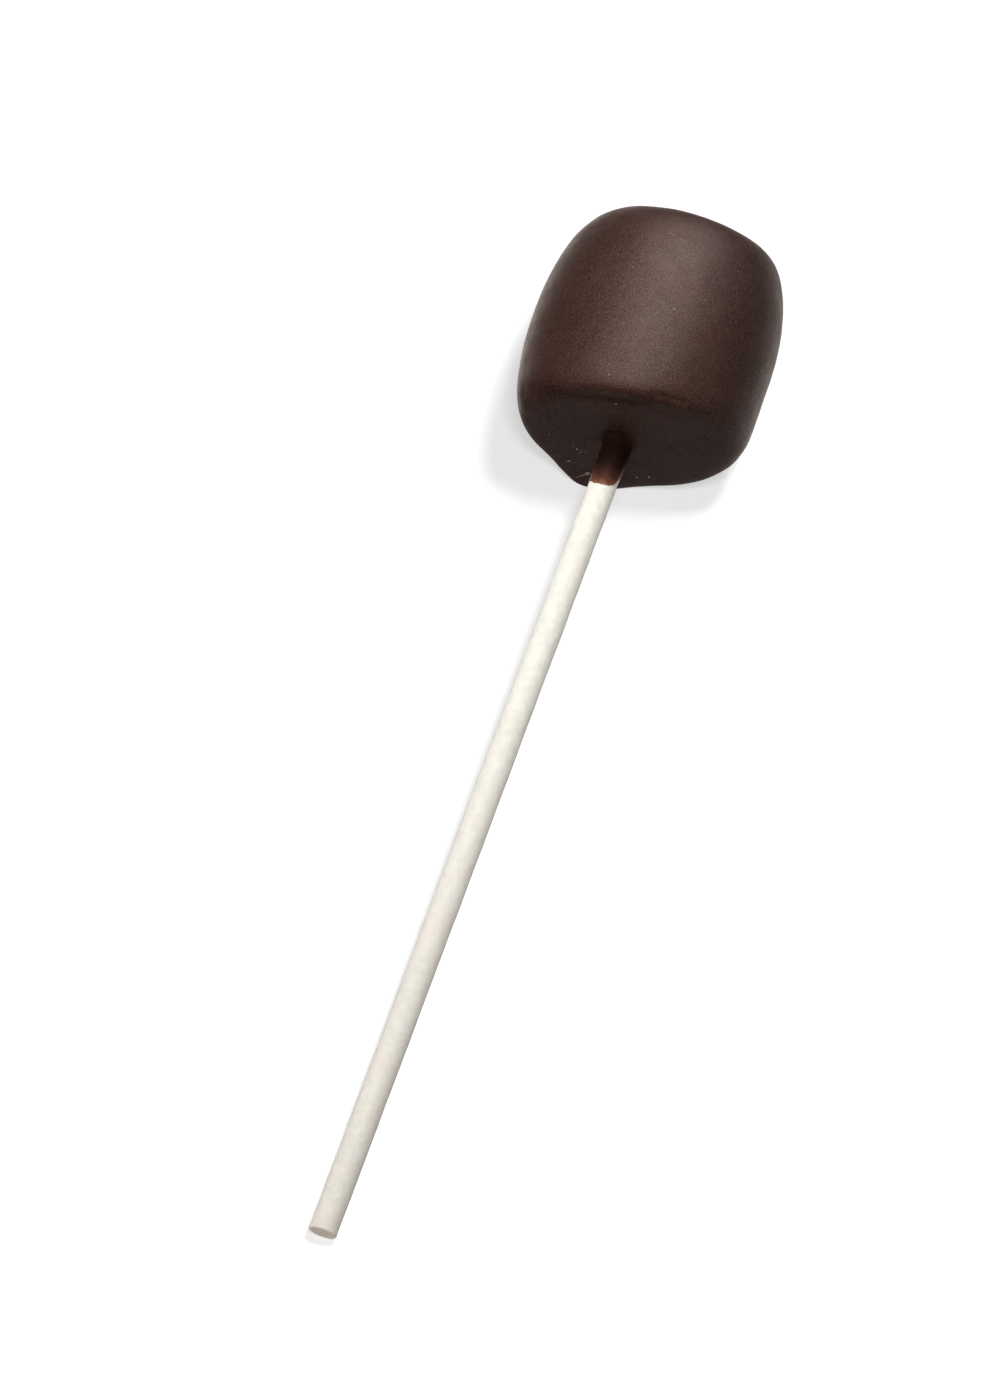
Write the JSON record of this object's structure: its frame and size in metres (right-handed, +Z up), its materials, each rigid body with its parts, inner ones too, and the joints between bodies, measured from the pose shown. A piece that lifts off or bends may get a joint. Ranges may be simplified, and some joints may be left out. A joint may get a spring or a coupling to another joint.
{
  "type": "chocolate-coated marshmallow pop on a paper stick",
  "caption": "Barrel-shaped marshmallow dipped in dark chocolate with a small flat set-down foot, held on a rolled white paper stick; it lies on its side.",
  "frame": {"origin": "middle of the pop's outline on the level surface that it lies on", "axes": "+Z up; +Y runs from the free end of the stick towards the marshmallow; +X to the right when looking along +Y"},
  "size_m": [0.0351, 0.1588, 0.0337],
  "materials": {
    "dark_chocolate": "set dark chocolate, satin, with fine grain and a few pale specks",
    "white_paper": "tightly rolled matt white paper"
  },
  "bodies": {
    "root": {"marshmallow": "dark_chocolate", "stick": "white_paper"}
  },
  "joints": []
}
